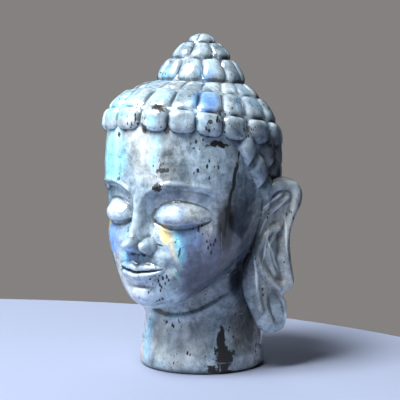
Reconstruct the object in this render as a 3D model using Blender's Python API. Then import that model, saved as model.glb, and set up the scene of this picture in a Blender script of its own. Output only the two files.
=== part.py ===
"""Buddha head carved from one block of polished labradorite, standing on its own neck.

Metres, +Z up. The face looks along -Y, so the figure's left side is +X. The origin is the
centre of the flat underside of the neck. Every form is worked out from the sizes below.
"""

import bmesh
import bpy
import numpy as np

MM = 0.001

# Heights that stack from the ground up
NECK_HEIGHT = 20.8 * MM
FACE_HEIGHT = 51.5 * MM
HAIR_HEIGHT = 13.8 * MM
TOPKNOT_HEIGHT = 13.9 * MM

# Skull, measured on the skin at the temples, and how far its middle is ahead of the neck's
HEAD_WIDTH = 48.0 * MM
HEAD_DEPTH = 52.4 * MM
HEAD_FORWARD = 5.6 * MM
JAW_RISE = 15.0 * MM

# Neck
NECK_FOOT_RADIUS = 19.0 * MM
NECK_TOP_RADIUS = 17.0 * MM
NECK_EDGE = 1.6 * MM
NECK_FOLD_HEIGHT = 17.0 * MM
NECK_FOLD_DEPTH = 0.8 * MM
NECK_FOLD_CLIMB = 13.4 * MM

# Hair: knobs in rows round the crown, and scales down the back
TOPKNOT_RADIUS = 13.0 * MM
TOPKNOT_FORWARD = 0.5 * MM
HAIR_STAND = 0.25 * MM
HAIR_DROP = 9.0 * MM
HAIR_COLUMNS = 18
KNOB_RELIEF = 1.9 * MM
SCALE_HEIGHT = 6.0 * MM
SCALE_RELIEF = 1.4 * MM
SCALE_START = 0.2
SCALE_ROWS = 5
TEMPLE_ANGLE = 80
BURIED = 4.0 * MM

# Ears: long slabs that sweep back from the sides of the head
EAR_SWEEP = 51.6
EAR_OUT = 21.1 * MM
EAR_BACK = 3.6 * MM
EAR_TOP = 57.9 * MM
EAR_LENGTH = 46.3 * MM
EAR_WIDTH = 14.0 * MM
EAR_THICKNESS = 4.4 * MM
EAR_ROOT = 4.5 * MM
HELIX_RELIEF = 1.1 * MM
HELIX_INSET = 1.8 * MM
HELIX_SPREAD = 1.6 * MM
CONCHA_DEPTH = 1.5 * MM
LOBE_DISH = 1.3 * MM
RIGHT_LOBE_BACK = 2.2 * MM

# Mesh fineness
HAIR_STEPS = 4 * HAIR_COLUMNS
ROW_STEPS = (3, 3, 3, 3, 4, 4)
HEAD_STEPS = 46
HEAD_RINGS = 36
RING_SPREAD = (0, 0.1, 0.46, 0.60, 0.88, 1), (0, 0.07, 0.36, 0.5, 0.8, 1.08)
NECK_STEPS = 36
EAR_STEPS = 18

CHIN = NECK_HEIGHT
HAIRLINE = CHIN + FACE_HEIGHT
HALF_WIDTH = HEAD_WIDTH / 2
HALF_DEPTH = HEAD_DEPTH / 2
THIRD = FACE_HEIGHT / 3
EYE = HEAD_WIDTH / 5

# Skull sections from chin to hairline: share of the way up, then half width, depth ahead
# of the middle and depth behind it, as shares of the skull's
SKULL_SECTIONS = np.array([
    (0.00, 0.38, 0.80, 0.80),
    (0.04, 0.54, 0.88, 0.81),
    (0.10, 0.67, 0.93, 0.84),
    (0.20, 0.80, 0.955, 0.885),
    (0.33, 0.90, 0.965, 0.94),
    (0.50, 0.975, 0.975, 0.975),
    (0.66, 1.00, 0.995, 0.985),
    (0.82, 1.00, 1.00, 0.985),
    (1.00, 0.965, 0.965, 0.97),
    (1.12, 0.93, 0.93, 0.94),
])

# Groove lines between the rows of hair, from the top of the head down to the hairline:
# share of the topknot's radius, share of the way from its foot to the skull, share of the
# topknot's height, share of the hair's height, share of the drop to the back, and the slope
# of the outward direction in degrees
GROOVE_LINES = np.array([
    (0.00, 0.00, 0.83, 1.00, 0.00, 90.0),
    (0.31, 0.00, 0.79, 1.00, 0.04, 58.0),
    (0.66, 0.00, 0.47, 1.00, 0.10, 42.0),
    (1.00, 0.00, 0.00, 1.00, 0.20, 50.0),
    (1.00, 0.48, 0.00, 0.86, 0.60, 58.0),
    (1.00, 0.93, 0.00, 0.50, 0.90, 26.0),
    (1.00, 1.00, 0.00, 0.00, 1.00, -6.0),
])

# Rows of knobs from the top: number in the ring, angle of the first groove, and share of
# the relief
KNOB_ROWS = (
    (4, 12.0, 1.24),
    (7, 10.0, 0.74),
    (10, 0.0, 0.79),
    (18, 0.0, 0.47),
    (18, 0.0, 0.79),
    (18, 0.0, 1.00),
)

# Ear from top to lobe: share of its length, inner edge and outer edge as shares of its width
EAR_SECTIONS = np.array([
    (0.000, 0.44, 0.64),
    (0.020, 0.28, 0.80),
    (0.060, 0.14, 0.93),
    (0.110, 0.06, 0.985),
    (0.170, 0.00, 0.96),
    (0.235, 0.01, 0.84),
    (0.310, 0.00, 0.745),
    (0.400, -0.06, 0.695),
    (0.510, -0.16, 0.735),
    (0.600, -0.30, 0.785),
    (0.690, -0.33, 0.80),
    (0.728, -0.30, 0.72),
    (0.750, -0.28, 0.59),
    (0.800, -0.22, 0.64),
    (0.870, -0.12, 0.66),
    (0.935, -0.02, 0.64),
    (0.975, 0.06, 0.59),
    (1.000, 0.20, 0.44),
])


def between(stations, at):
    """The other columns of stations, read in straight lines at positions of the first."""
    at = np.asarray(at, float)
    return [np.interp(at, stations[:, 0], column) for column in stations[:, 1:].T]


def eased(stations, at):
    """The same, read along a curve that passes smoothly through the stations."""
    at = np.clip(at, stations[0, 0], stations[-1, 0])
    place, values = stations[:, 0], stations[:, 1:]
    slope = np.gradient(values, place, axis=0)
    index = np.clip(np.searchsorted(place, at) - 1, 0, len(place) - 2)
    span = (place[index + 1] - place[index])[..., None]
    t = (at - place[index])[..., None] / span
    curve = ((2 * t**3 - 3 * t**2 + 1) * values[index] + (3 * t**2 - 2 * t**3) * values[index + 1]
             + ((t**3 - 2 * t**2 + t) * slope[index] + (t**3 - t**2) * slope[index + 1]) * span)
    return np.moveaxis(curve, -1, 0)


def ramp(value, start, end):
    """0 before start, 1 after end, with eased ends between."""
    t = np.clip((value - start) / (end - start), 0.0, 1.0)
    return t * t * (3.0 - 2.0 * t)


def bell(value, width):
    """A bump of height 1 that fades over about width either side."""
    return np.exp(-(value / width) ** 2)


def pillow(turns):
    """Rounded profile of a knob across each whole turn, with a narrow groove between two."""
    return (1 - np.abs(2 * (turns % 1.0) - 1) ** 2.6) ** 0.72


def chin_to_back(angle):
    """How much higher than the chin the foot of the skull is at an angle from the front."""
    return JAW_RISE * ((1 - np.cos(angle)) / 2) ** 1.4


def skull(angle, z, stand=0.0):
    """Point on the plain skull at an angle and a height, standing proud of it by stand."""
    foot = CHIN + chin_to_back(angle)
    width, front, back = eased(SKULL_SECTIONS, (z - foot) / (HAIRLINE - foot))
    sine, cosine = np.sin(angle), np.cos(angle)
    full = 2 / 2.25
    side = np.sign(sine) * np.abs(sine) ** full
    ahead = np.sign(cosine) * np.abs(cosine) ** full
    depth = np.where(cosine > 0, front, back) * HALF_DEPTH + stand
    x = (width * HALF_WIDTH + stand) * side
    return np.stack([x, -HEAD_FORWARD - depth * ahead, z + 0 * x], -1)


def eyes(across, up):
    """Brow, socket and closed lids, at eye widths from the middle and thirds above the chin."""
    arch = np.sin(np.pi * np.clip((across - 0.1) / 2.2, 0, 1)) ** 0.8
    brow = up - 1.93 - 0.24 * arch
    beside = ramp(across, 0.12, 0.42) * ramp(-across, -2.2, -1.6)
    socket = -0.11 * ramp(-brow, 0.0, 0.22) * ramp(up, 1.25, 1.65) * beside
    ridge = 0.03 * bell(brow, 0.07) * beside
    reach = (across - 1.1) / 0.72
    oval = 1 - reach**2 - ((up - 1.67) / 0.3) ** 2
    ball = 0.13 * np.clip(oval, 0, 1) ** 0.7
    meeting = 1.585 - 0.05 * (1 - reach**2)
    lid = 0.04 * ramp(up - meeting, -0.035, 0.0) * ramp(oval, 0.0, 0.3)
    slit = -0.03 * bell(up - meeting, 0.03) * ramp(oval, -0.1, 0.1)
    return socket + ridge + ball + lid + slit


def nose(across, up):
    """Bridge, tip and wings of the nose."""
    climb = np.clip((up - 1.1) / 0.9, 0, 1)
    bridge = 0.10 + 0.33 * (1 - climb) ** 1.15
    below = np.sqrt(np.clip(1 - (np.clip(1.12 - up, 0, 1) / 0.13) ** 2, 0, 1))
    half = 0.22 + 0.15 * (1 - climb) ** 2 + 0.25 * ramp(up, 1.75, 2.15)
    ridge = bridge * below * ramp(-up, -2.25, -1.95) * np.exp(-(across / half) ** 2.6)
    wing = 0.15 * bell(across - 0.42, 0.17) * bell(up - 1.11, 0.10)
    return ridge + wing


def mouth(across, up):
    """Lips in a calm smile, the muzzle round them, and the ball of the chin."""
    reach = across / 0.8
    meeting = 0.685 + 0.045 * reach**2
    bow = 0.16 * np.clip(1 - reach**2, 0, 1) ** 0.7 - 0.03 * bell(across, 0.16)
    fuller = 0.19 * np.clip(1 - reach**2, 0, 1) ** 0.8
    over = np.clip((up - meeting) / np.maximum(bow, 0.01), 0, 1)
    under = np.clip((meeting - up) / np.maximum(fuller, 0.01), 0, 1)
    shown = ramp(-reach, -1.02, -0.9)
    lips = (0.06 * np.sin(np.pi * over**0.75) + 0.07 * np.sin(np.pi * under**0.7)) * shown
    slit = -0.02 * bell(up - meeting, 0.04) * ramp(-reach, -1.1, -0.95)
    corner = -0.05 * bell(across - 0.87, 0.13) * bell(up - 0.735, 0.07)
    muzzle = 0.08 * bell(across, 0.95) * bell(up - 0.72, 0.36)
    groove = -0.05 * bell(across, 0.6) * bell(up - 0.43, 0.07)
    philtrum = -0.03 * bell(across, 0.11) * bell(up - 0.93, 0.07)
    ball = 0.085 * bell(across, 0.62) * bell(up - 0.2, 0.2)
    return lips + slit + corner + muzzle + groove + philtrum + ball


def face_relief(x, z):
    """How far the carved face stands forward of the plain skull."""
    across = np.abs(x) / EYE
    up = (z - CHIN) / THIRD
    cheek = 0.05 * bell(across - 1.45, 0.6) * bell(up - 1.1, 0.4)
    return THIRD * (eyes(across, up) + nose(across, up) + mouth(across, up) + cheek)


def closed_body(name, rings, first, last, relief=None):
    """One closed mesh through a stack of equal rings and a point past each end. Each patch
    of four corners is split along its shorter diagonal or, if relief is given, its lower."""
    rows, steps = rings.shape[:2]
    mesh = bmesh.new()
    corners = [[mesh.verts.new(point) for point in ring] for ring in rings.tolist()]
    ends = mesh.verts.new(first), mesh.verts.new(last)
    for row in range(rows - 1):
        for step in range(steps):
            after = (step + 1) % steps
            a, b = corners[row][step], corners[row][after]
            c, d = corners[row + 1][after], corners[row + 1][step]
            if relief is None:
                across_ac = (a.co - c.co).length <= (b.co - d.co).length
            else:
                across_ac = (relief[row, step] + relief[row + 1, after]
                             <= relief[row, after] + relief[row + 1, step])
            for face in ((a, b, c), (a, c, d)) if across_ac else ((a, b, d), (b, c, d)):
                mesh.faces.new(face)
    for step in range(steps):
        after = (step + 1) % steps
        mesh.faces.new((ends[0], corners[0][after], corners[0][step]))
        mesh.faces.new((ends[1], corners[-1][step], corners[-1][after]))
    bmesh.ops.recalc_face_normals(mesh, faces=mesh.faces)
    data = bpy.data.meshes.new(name)
    mesh.to_mesh(data)
    mesh.free()
    body = bpy.data.objects.new(name, data)
    bpy.context.scene.collection.objects.link(body)
    return body


def head_body():
    """Skull and face, closed inside the hair above and inside the neck below."""
    turn = np.linspace(-1, 1, HEAD_STEPS, endpoint=False)
    angle = np.pi * (0.46 * turn + 0.54 * turn**3)
    share = np.interp(np.linspace(0, 1, HEAD_RINGS), *RING_SPREAD)
    angles, shares = np.meshgrid(angle, share)
    foot = CHIN + chin_to_back(angles)
    rings = skull(angles, foot + (HAIRLINE - foot) * shares)
    carved = face_relief(rings[..., 0], rings[..., 2])
    rings[..., 1] -= carved * ramp(np.cos(angles), 0.0, 0.15)
    core = np.array([0, -HEAD_FORWARD / 2, CHIN + 0.2 * FACE_HEIGHT])
    under = core + (rings[:1] - core) * 0.75
    top = (0, -HEAD_FORWARD, HAIRLINE + 0.3 * HAIR_HEIGHT)
    return closed_body("head_body", np.concatenate([under, rings]), core, top)


def knob_angles(knobs, first):
    """Angles of the mesh's columns, moved a little so that each groove has a column on it."""
    column = np.arange(HAIR_STEPS)
    groove = first + 360 / knobs * np.arange(-knobs, 2 * knobs + 1)
    nearest = np.round(groove / 360 * HAIR_STEPS)
    return np.radians(np.interp(column, nearest, groove))


def scales(angle, place):
    """Relief of the scales behind the ears, and where there are any. Each is a diamond, two
    rows high, set between two of the row above."""
    across = np.degrees(np.arctan2(np.sin(angle), np.cos(angle))) * HAIR_COLUMNS / 180
    down = place - len(KNOB_ROWS) - SCALE_START
    relief = np.zeros_like(across)
    found = np.zeros(across.shape, bool)
    for nudge in (-0.03, 0.03):
        for other in (-0.03, 0.03):
            p = 2 * np.round((across + down + nudge) / 2)
            q = 2 * np.round((across - down + other) / 2)
            row = (p - q) / 2
            start = (TEMPLE_ANGLE / 10 + row) * HAIR_COLUMNS / 18
            found |= (np.abs(p + q) / 2 >= start) & (row >= 0) & (row < SCALE_ROWS)
    p, q = (across + down) / 2 + 0.5, (across - down) / 2 + 0.5
    relief = SCALE_RELIEF * pillow(p) * pillow(q)
    return relief * found, found


def hair_point(angle, place, stand):
    """Point of the hair's plain surface, at rows counted from the top, raised by stand."""
    knobs = len(KNOB_ROWS)
    lines = np.column_stack([np.arange(knobs + 1), GROOVE_LINES])
    knot, out, knot_up, hair_up, drop, slope = between(lines, place)
    fall = HAIR_DROP * (1 - np.cos(angle)) / 2
    circle = np.stack([np.sin(angle), -np.cos(angle)], -1)
    middle = circle * (TOPKNOT_RADIUS * knot)[..., None]
    middle[..., 1] -= TOPKNOT_FORWARD * knot
    past = np.maximum(place - knobs, 0) * SCALE_HEIGHT
    band = skull(angle, HAIRLINE - fall - past, HAIR_STAND)
    xy = middle + (band[..., :2] - middle) * out[..., None]
    z = HAIRLINE + HAIR_HEIGHT * hair_up + TOPKNOT_HEIGHT * knot_up - fall * drop - past
    lean = np.radians(slope)
    xy += circle * (stand * np.cos(lean))[..., None]
    return np.concatenate([xy, (z + stand * np.sin(lean))[..., None]], -1)


def hair_body():
    """Topknot, rows of knobs and scales, closed inside the head."""
    knobs = len(KNOB_ROWS)
    rows = [row + (step + 1) / steps for row, steps in enumerate(ROW_STEPS) for step in range(steps)]
    rows += [knobs + SCALE_START + step / 2 for step in range(2 * SCALE_ROWS + 2)]
    place = np.repeat(np.array(rows)[:, None], HAIR_STEPS, 1)
    angle = np.empty_like(place)
    relief = np.zeros_like(place)
    for index, row in enumerate(rows):
        count, first, height = KNOB_ROWS[min(int(np.ceil(row)) - 1, knobs - 1)]
        angle[index] = knob_angles(count, first)
        if row < knobs:
            turns = (np.degrees(angle[index]) - first) * count / 360
            across, down = pillow(turns), pillow(row)
            if row < 1:
                across, down = 1 - 0.5 * ramp(row, 0.0, 0.7) * (1 - across), pillow((1 + row) / 2)
            relief[index] = KNOB_RELIEF * height * across * down
    scale, found = scales(angle, place)
    relief = np.maximum(relief, scale)
    hidden = (place > knobs) & ~found
    stand = np.where(hidden, -BURIED, relief)
    rings = hair_point(angle, place, stand)
    top = hair_point(np.zeros(1), np.zeros(1), np.array([KNOB_RELIEF * KNOB_ROWS[0][2]]))[0]
    return closed_body("hair_body", rings, top, (0, -HEAD_FORWARD, CHIN + 0.4 * FACE_HEIGHT), stand)


def neck_body():
    """Flat-footed neck with a rounded edge and the carved fold under the chin."""
    angle = np.linspace(0, 2 * np.pi, NECK_STEPS, endpoint=False)
    edge = [(np.sin(t) * NECK_EDGE - NECK_EDGE, (1 - np.cos(t)) * NECK_EDGE)
            for t in np.radians((0, 30, 60, 90))]
    levels = [z for _, z in edge]
    levels += list(np.array((0.3, 0.5, 0.65, 0.78, 0.86, 0.93, 1.0, 1.1, 1.25, 1.5, 1.9)) * NECK_HEIGHT)
    z = np.array(levels)
    flare = (NECK_FOOT_RADIUS - NECK_TOP_RADIUS) * (1 - ramp(z, 0.1 * NECK_HEIGHT, 0.9 * NECK_HEIGHT))
    radius = NECK_TOP_RADIUS + flare - 0.25 * NECK_TOP_RADIUS * ramp(z, 1.6 * NECK_HEIGHT, 2 * NECK_HEIGHT)
    radius[:4] += [inset for inset, _ in edge]
    radii, angles = radius[:, None] + 0 * angle, angle + 0 * z[:, None]
    heights = z[:, None] + 0 * angle
    fold = NECK_FOLD_HEIGHT + NECK_FOLD_CLIMB * (1 - np.cos(angles))
    radii -= NECK_FOLD_DEPTH * ramp((heights - fold) / NECK_FOLD_DEPTH, -0.4, 0.8) * (np.cos(angles) > 0.5)
    rings = np.stack([radii * np.sin(angles), -radii * np.cos(angles), heights], -1)
    return closed_body("neck_body", rings, (0, 0, 0), (0, 0, 1.9 * NECK_HEIGHT))


def ear_body(name, side):
    """One ear: raised rim, hollow, long dished lobe, and the root that joins it to the head."""
    share, inner, outer = EAR_SECTIONS.T
    turn = np.linspace(0, 2 * np.pi, EAR_STEPS, endpoint=False)
    middle = (inner + outer)[:, None] / 2 * EAR_WIDTH
    half = (outer - inner)[:, None] / 2 * EAR_WIDTH
    rounding = np.abs(np.cos(turn)) ** 0.8 * np.sign(np.cos(turn))
    out = middle + half * rounding
    z = EAR_TOP - EAR_LENGTH * share[:, None] + 0 * turn
    slim = np.sqrt(np.clip(1 - (2 * share[:, None] - 1) ** 8, 0.05, 1))
    thick = EAR_THICKNESS / 2 * slim * np.sign(np.sin(turn)) * np.abs(np.sin(turn)) ** 0.5
    from_inner = out - inner[:, None] * EAR_WIDTH
    from_outer = outer[:, None] * EAR_WIDTH - out
    from_top = EAR_TOP - z
    rim_way = np.minimum(from_outer, from_top)
    rim_way = np.where(share[:, None] < 0.25, np.minimum(rim_way, from_inner + 0.3 * HELIX_INSET), rim_way)
    rim = HELIX_RELIEF * bell(rim_way - HELIX_INSET, HELIX_SPREAD) * (share[:, None] < 0.74)
    hollow = -CONCHA_DEPTH * bell(out - 0.33 * EAR_WIDTH, 0.2 * EAR_WIDTH) * bell(share[:, None] - 0.3, 0.17)
    dish = -LOBE_DISH * bell(out - 0.45 * EAR_WIDTH, 0.16 * EAR_WIDTH) * bell(share[:, None] - 0.85, 0.09)
    thick = thick + (rim + hollow + dish) * ramp(np.sin(turn), 0.0, 0.5)
    root = EAR_ROOT * bell(from_inner - 0.15 * EAR_WIDTH, 0.25 * EAR_WIDTH)
    root *= ramp(share, -0.02, 0.12)[:, None] * (1 - ramp(share, 0.5, 0.66))[:, None]
    thick = thick - root * (np.sin(turn) < -0.1)
    sweep = np.radians(EAR_SWEEP)
    x = EAR_OUT + out * np.cos(sweep) + thick * np.sin(sweep)
    y = EAR_BACK - HEAD_FORWARD + out * np.sin(sweep) - thick * np.cos(sweep)
    back = RIGHT_LOBE_BACK * ramp(share, 0.45, 0.95)[:, None] * (side < 0)
    rings = np.stack([side * (x - 0.3 * back), y + back, z], -1)
    first, last = rings[0].mean(0), rings[-1].mean(0)
    return closed_body(name, rings, first, last)


def join(body, others):
    """Unites the others with body and leaves body alone in the scene."""
    for other in others:
        union = body.modifiers.new(other.name, "BOOLEAN")
        union.operation = "UNION"
        union.solver = "EXACT"
        union.object = other
    graph = bpy.context.evaluated_depsgraph_get()
    whole = bpy.data.meshes.new_from_object(body.evaluated_get(graph))
    body.modifiers.clear()
    body.data = whole
    for other in others:
        bpy.data.objects.remove(other)
    return body


def stone():
    """Grey polished feldspar."""
    material = bpy.data.materials.new("labradorite")
    material.use_nodes = True
    shader = material.node_tree.nodes["Principled BSDF"]
    shader.inputs["Base Color"].default_value = (0.36, 0.41, 0.45, 1)
    shader.inputs["Roughness"].default_value = 0.15
    shader.inputs["Metallic"].default_value = 0.0
    return material


def main():
    for old in list(bpy.data.objects):
        bpy.data.objects.remove(old)
    parts = [neck_body(), hair_body(), ear_body("left_ear", 1), ear_body("right_ear", -1)]
    head = join(head_body(), parts)
    head.name = "buddha_head"
    head.data.name = "buddha_head"
    head.data.materials.clear()
    head.data.materials.append(stone())
    head.data.shade_smooth()
    head.data.set_sharp_from_angle(angle=np.radians(40))


main()
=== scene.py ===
"""Looks for a Buddha head carved from one block of polished labradorite.

The head is one mesh: skull and face, hair, neck and ears are each a closed surface of two
parameters, worked out with numpy, and are then united. It stands in for the plain solid.
"""

import math

import bpy
import numpy as np
from mathutils import Euler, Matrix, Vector


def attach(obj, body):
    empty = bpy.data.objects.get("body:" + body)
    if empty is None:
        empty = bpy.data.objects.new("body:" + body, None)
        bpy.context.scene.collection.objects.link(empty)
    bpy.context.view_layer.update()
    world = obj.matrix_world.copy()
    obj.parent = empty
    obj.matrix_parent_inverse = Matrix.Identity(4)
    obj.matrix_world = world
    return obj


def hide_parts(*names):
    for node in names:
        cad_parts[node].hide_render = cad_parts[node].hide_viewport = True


bl_info = {
    "name": "Labradorite Buddha head",
    "version": (1, 0, 0),
    "blender": (4, 5, 0),
    "location": "View3D > Sidebar > Buddha head",
    "description": "Carves a polished stone Buddha head with its stage, lights and camera",
    "category": "Object",
}

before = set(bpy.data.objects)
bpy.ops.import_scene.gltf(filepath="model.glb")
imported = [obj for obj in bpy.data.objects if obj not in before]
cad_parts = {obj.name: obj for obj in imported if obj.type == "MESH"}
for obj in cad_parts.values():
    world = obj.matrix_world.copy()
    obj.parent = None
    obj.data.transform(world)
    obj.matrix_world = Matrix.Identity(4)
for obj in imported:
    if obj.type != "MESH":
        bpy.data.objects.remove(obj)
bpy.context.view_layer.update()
NODE = "buddha_head"
MM = 0.001

# Skull from chin to hairline: share of the way up, then half width, depth ahead of the
# middle and depth behind it, as shares of the skull's
SKULL_SECTIONS = np.array([
    (0.00, 0.38, 0.80, 0.80),
    (0.04, 0.54, 0.88, 0.81),
    (0.10, 0.67, 0.93, 0.84),
    (0.20, 0.80, 0.955, 0.885),
    (0.33, 0.90, 0.965, 0.94),
    (0.50, 0.975, 0.975, 0.975),
    (0.66, 1.00, 0.995, 0.985),
    (0.82, 1.00, 1.00, 0.985),
    (1.00, 0.965, 0.965, 0.97),
    (1.12, 0.93, 0.93, 0.94),
])

# Groove lines between the rows of hair, from the top of the head down to the hairline:
# share of the topknot's radius, share of the way from its foot to the skull, share of the
# topknot's height, share of the hair's height, share of the drop to the back, and the slope
# of the outward direction in degrees
GROOVE_LINES = np.array([
    (0.00, 0.00, 0.83, 1.00, 0.00, 90.0),
    (0.31, 0.00, 0.79, 1.00, 0.04, 58.0),
    (0.66, 0.00, 0.47, 1.00, 0.10, 42.0),
    (1.00, 0.00, 0.00, 1.00, 0.20, 50.0),
    (1.00, 0.48, 0.00, 0.86, 0.60, 58.0),
    (1.00, 0.93, 0.00, 0.50, 0.90, 26.0),
    (1.00, 1.00, 0.00, 0.00, 1.00, -6.0),
])

# Rows of knobs from the top: number in the ring, angle of the first groove, and relief
KNOB_ROWS = (
    (4, 12.0, 2.35 * MM),
    (7, 10.0, 1.4 * MM),
    (10, 0.0, 1.5 * MM),
    (18, 0.0, 0.9 * MM),
    (18, 0.0, 1.5 * MM),
    (18, 0.0, 1.9 * MM),
)

# Ear from top to lobe: share of its length, inner edge and outer edge as shares of its width
EAR_SECTIONS = np.array([
    (0.000, 0.44, 0.64),
    (0.020, 0.28, 0.80),
    (0.060, 0.14, 0.93),
    (0.110, 0.06, 0.985),
    (0.170, 0.00, 0.96),
    (0.235, 0.01, 0.84),
    (0.310, 0.00, 0.745),
    (0.400, -0.06, 0.695),
    (0.510, -0.16, 0.735),
    (0.600, -0.30, 0.785),
    (0.690, -0.33, 0.80),
    (0.728, -0.30, 0.72),
    (0.750, -0.28, 0.59),
    (0.800, -0.22, 0.64),
    (0.870, -0.12, 0.66),
    (0.935, -0.02, 0.64),
    (0.975, 0.06, 0.59),
    (1.000, 0.20, 0.44),
])

# Lines carved on the ear, as millimetres out from its root line and millimetres down from
# its top: the rolled rim, the folds inside it, and two short strokes near the top
RIM_LINE = np.array([
    (1.6, 7.9), (2.2, 4.9), (4.8, 2.5), (8.0, 1.8), (10.8, 2.8), (12.0, 5.4), (11.1, 9.6),
    (10.0, 14.0), (9.0, 19.0), (8.3, 24.0), (8.6, 28.0), (9.2, 31.6),
])
FOLD_LINE = np.array([
    (6.0, 14.6), (3.3, 15.9), (-0.2, 20.9), (0.4, 25.4), (3.0, 29.7), (6.2, 33.0),
])
INNER_FOLD = np.array([(6.4, 15.2), (3.5, 19.2), (3.2, 23.0), (5.0, 28.6)])
CREASE_LINE = np.array([(-0.2, 26.0), (-0.5, 30.0), (-0.3, 34.5), (0.9, 39.5)])
STROKES = (
    np.array([(2.4, 7.6), (6.6, 4.7)]),
    np.array([(4.5, 9.4), (8.6, 6.1)]),
)
TROUGH_LINE = np.array([(6.3, 17), (5.6, 24), (7.0, 30)])

# Dish in the lobe on the same terms: centre, radii, and lean in degrees
DISH_CENTRE = (5.9, 39.2)
DISH_RADII = (3.1, 7.6)
DISH_LEAN = -17

# Degrees by which the ears turn back from straight out, and the share of lobe_back by which
# the right lobe also moves in
EAR_SWEEP = 51.6
LOBE_IN = 0.3

# Rows of mesh to each row of knobs, to each row of scales, and to all the scales
KNOB_MESH_ROWS = (12, 12, 12, 12, 16, 18)
SCALE_MESH_ROWS = 12
LOW_MESH_ROWS = 65

# Relief of hair that is hidden in the skull, and the least that relief is let fall to
HIDDEN = -9 * MM
DEEPEST = -4 * MM

# A union with fewer faces than this has lost a surface
LEAST_FACES = 50000


def between(stations, at):
    """The other columns of stations, read in straight lines at positions of the first."""
    at = np.asarray(at, float)
    return [np.interp(at, stations[:, 0], column) for column in stations[:, 1:].T]


def eased(stations, at):
    """The same, read along a cubic curve that passes through the stations, with the slope at
    each taken from its neighbours."""
    at = np.clip(at, stations[0, 0], stations[-1, 0])
    place, values = stations[:, 0], stations[:, 1:]
    slope = np.gradient(values, place, axis=0)
    index = np.clip(np.searchsorted(place, at) - 1, 0, len(place) - 2)
    span = (place[index + 1] - place[index])[..., None]
    t = (at - place[index])[..., None] / span
    curve = ((2 * t**3 - 3 * t**2 + 1) * values[index] + (3 * t**2 - 2 * t**3) * values[index + 1]
             + ((t**3 - 2 * t**2 + t) * slope[index] + (t**3 - t**2) * slope[index + 1]) * span)
    return np.moveaxis(curve, -1, 0)


def ramp(value, start, end):
    """0 before start, 1 after end, and 3t^2 - 2t^3 between."""
    t = np.clip((value - start) / (end - start), 0.0, 1.0)
    return t * t * (3.0 - 2.0 * t)


def bell(value, width):
    """A bump of height 1: e to the minus square of value over width."""
    return np.exp(-(value / width) ** 2)


def away_from(x, y, line):
    """Distance of each point from a line of straight stretches."""
    nearest = np.full(np.shape(x), np.inf)
    for (ax, ay), (bx, by) in zip(line[:-1], line[1:]):
        run = max((bx - ax) ** 2 + (by - ay) ** 2, 1e-12)
        t = np.clip(((x - ax) * (bx - ax) + (y - ay) * (by - ay)) / run, 0, 1)
        nearest = np.minimum(nearest, np.hypot(x - ax - t * (bx - ax), y - ay - t * (by - ay)))
    return nearest


def ripple(x, y, z, pitch, seed):
    """Smooth unevenness between -1 and 1: a sum of six sine waves in seeded directions."""
    rng = np.random.default_rng(seed)
    total = np.zeros(np.broadcast(x, y, z).shape)
    for way, turn in zip(rng.normal(size=(6, 3)), rng.uniform(0, 2 * np.pi, 6)):
        way = way / np.linalg.norm(way) * 2 * np.pi / pitch
        total += np.sin(x * way[0] + y * way[1] + z * way[2] + turn)
    return total / 6


def foot_of_skull(s, angle):
    """Height of the skull's lower edge: the chin's height ahead, and more towards the back."""
    return s.neck_height + s.jaw_rise * ((1 - np.cos(angle)) / 2) ** 1.4


def skull(s, angle, z, stand=0.0):
    """Point on the plain skull at an angle and a height, standing proud of it by stand. Each
    section is an oval of power 2.25 with its own width, depth ahead and depth behind."""
    foot = foot_of_skull(s, angle)
    top = s.neck_height + s.face_height
    width, front, back = eased(SKULL_SECTIONS, (z - foot) / (top - foot))
    sine, cosine = np.sin(angle), np.cos(angle)
    full = 2 / 2.25
    side = np.sign(sine) * np.abs(sine) ** full
    ahead = np.sign(cosine) * np.abs(cosine) ** full
    depth = np.where(cosine > 0, front, back) * s.head_depth / 2 + stand
    x = (width * s.head_width / 2 + stand) * side
    return np.stack([x, -s.head_forward - depth * ahead, z + 0 * x], -1)


def soft_max(pitch, *values):
    """The greatest of the values, with a fillet of about the given size where two are alike."""
    total = sum(np.exp(value / pitch) for value in values)
    return pitch * np.log(total / len(values))


def eyes(across, up):
    """Arched brow, hollow under it and closed lids. across is in eye widths from the middle
    of the face and up in thirds of it above the chin."""
    arch = np.sin(np.pi * np.clip((across - 0.10) / 2.25, 0, 1)) ** 0.8
    brow = up - 1.90 - 0.25 * arch
    beside = ramp(across, 0.08, 0.55) * ramp(-across, -2.35, -1.7)
    socket = -0.135 * ramp(-brow, -0.01, 0.14) * ramp(up, 1.15, 1.62) * beside
    ridge = 0.03 * bell(brow - 0.01, 0.045) * beside
    reach = (across - 1.14) / 0.8
    width = np.clip(1 - reach**2, 0, 1)
    high = np.where(up > 1.59, 0.27, 0.2)
    ball = 0.2 * np.clip(1 - reach**2 - ((up - 1.59) / high) ** 2, 0, 1) ** 1.15
    meeting = 1.55 - 0.085 * width
    shown = ramp(width, 0.0, 0.3)
    upper = ramp(meeting + 0.04 + 0.2 * width - up, -0.05, 0.06)
    lid = 0.04 * ramp(up - meeting, -0.018, 0.018) * upper * shown
    lashes = -0.02 * bell(up - meeting + 0.03, 0.026) * shown
    crease = -0.02 * bell(up - (1.63 + 0.21 * width**0.7), 0.03) * ramp(width, 0.02, 0.4)
    lower = 0.012 * bell(up - (1.48 - 0.13 * width), 0.035) * shown
    corner = -0.045 * bell(across - 0.40, 0.14) * bell(up - 1.61, 0.2)
    return socket + ridge + ball + lid + lashes + crease + lower + corner


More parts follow.
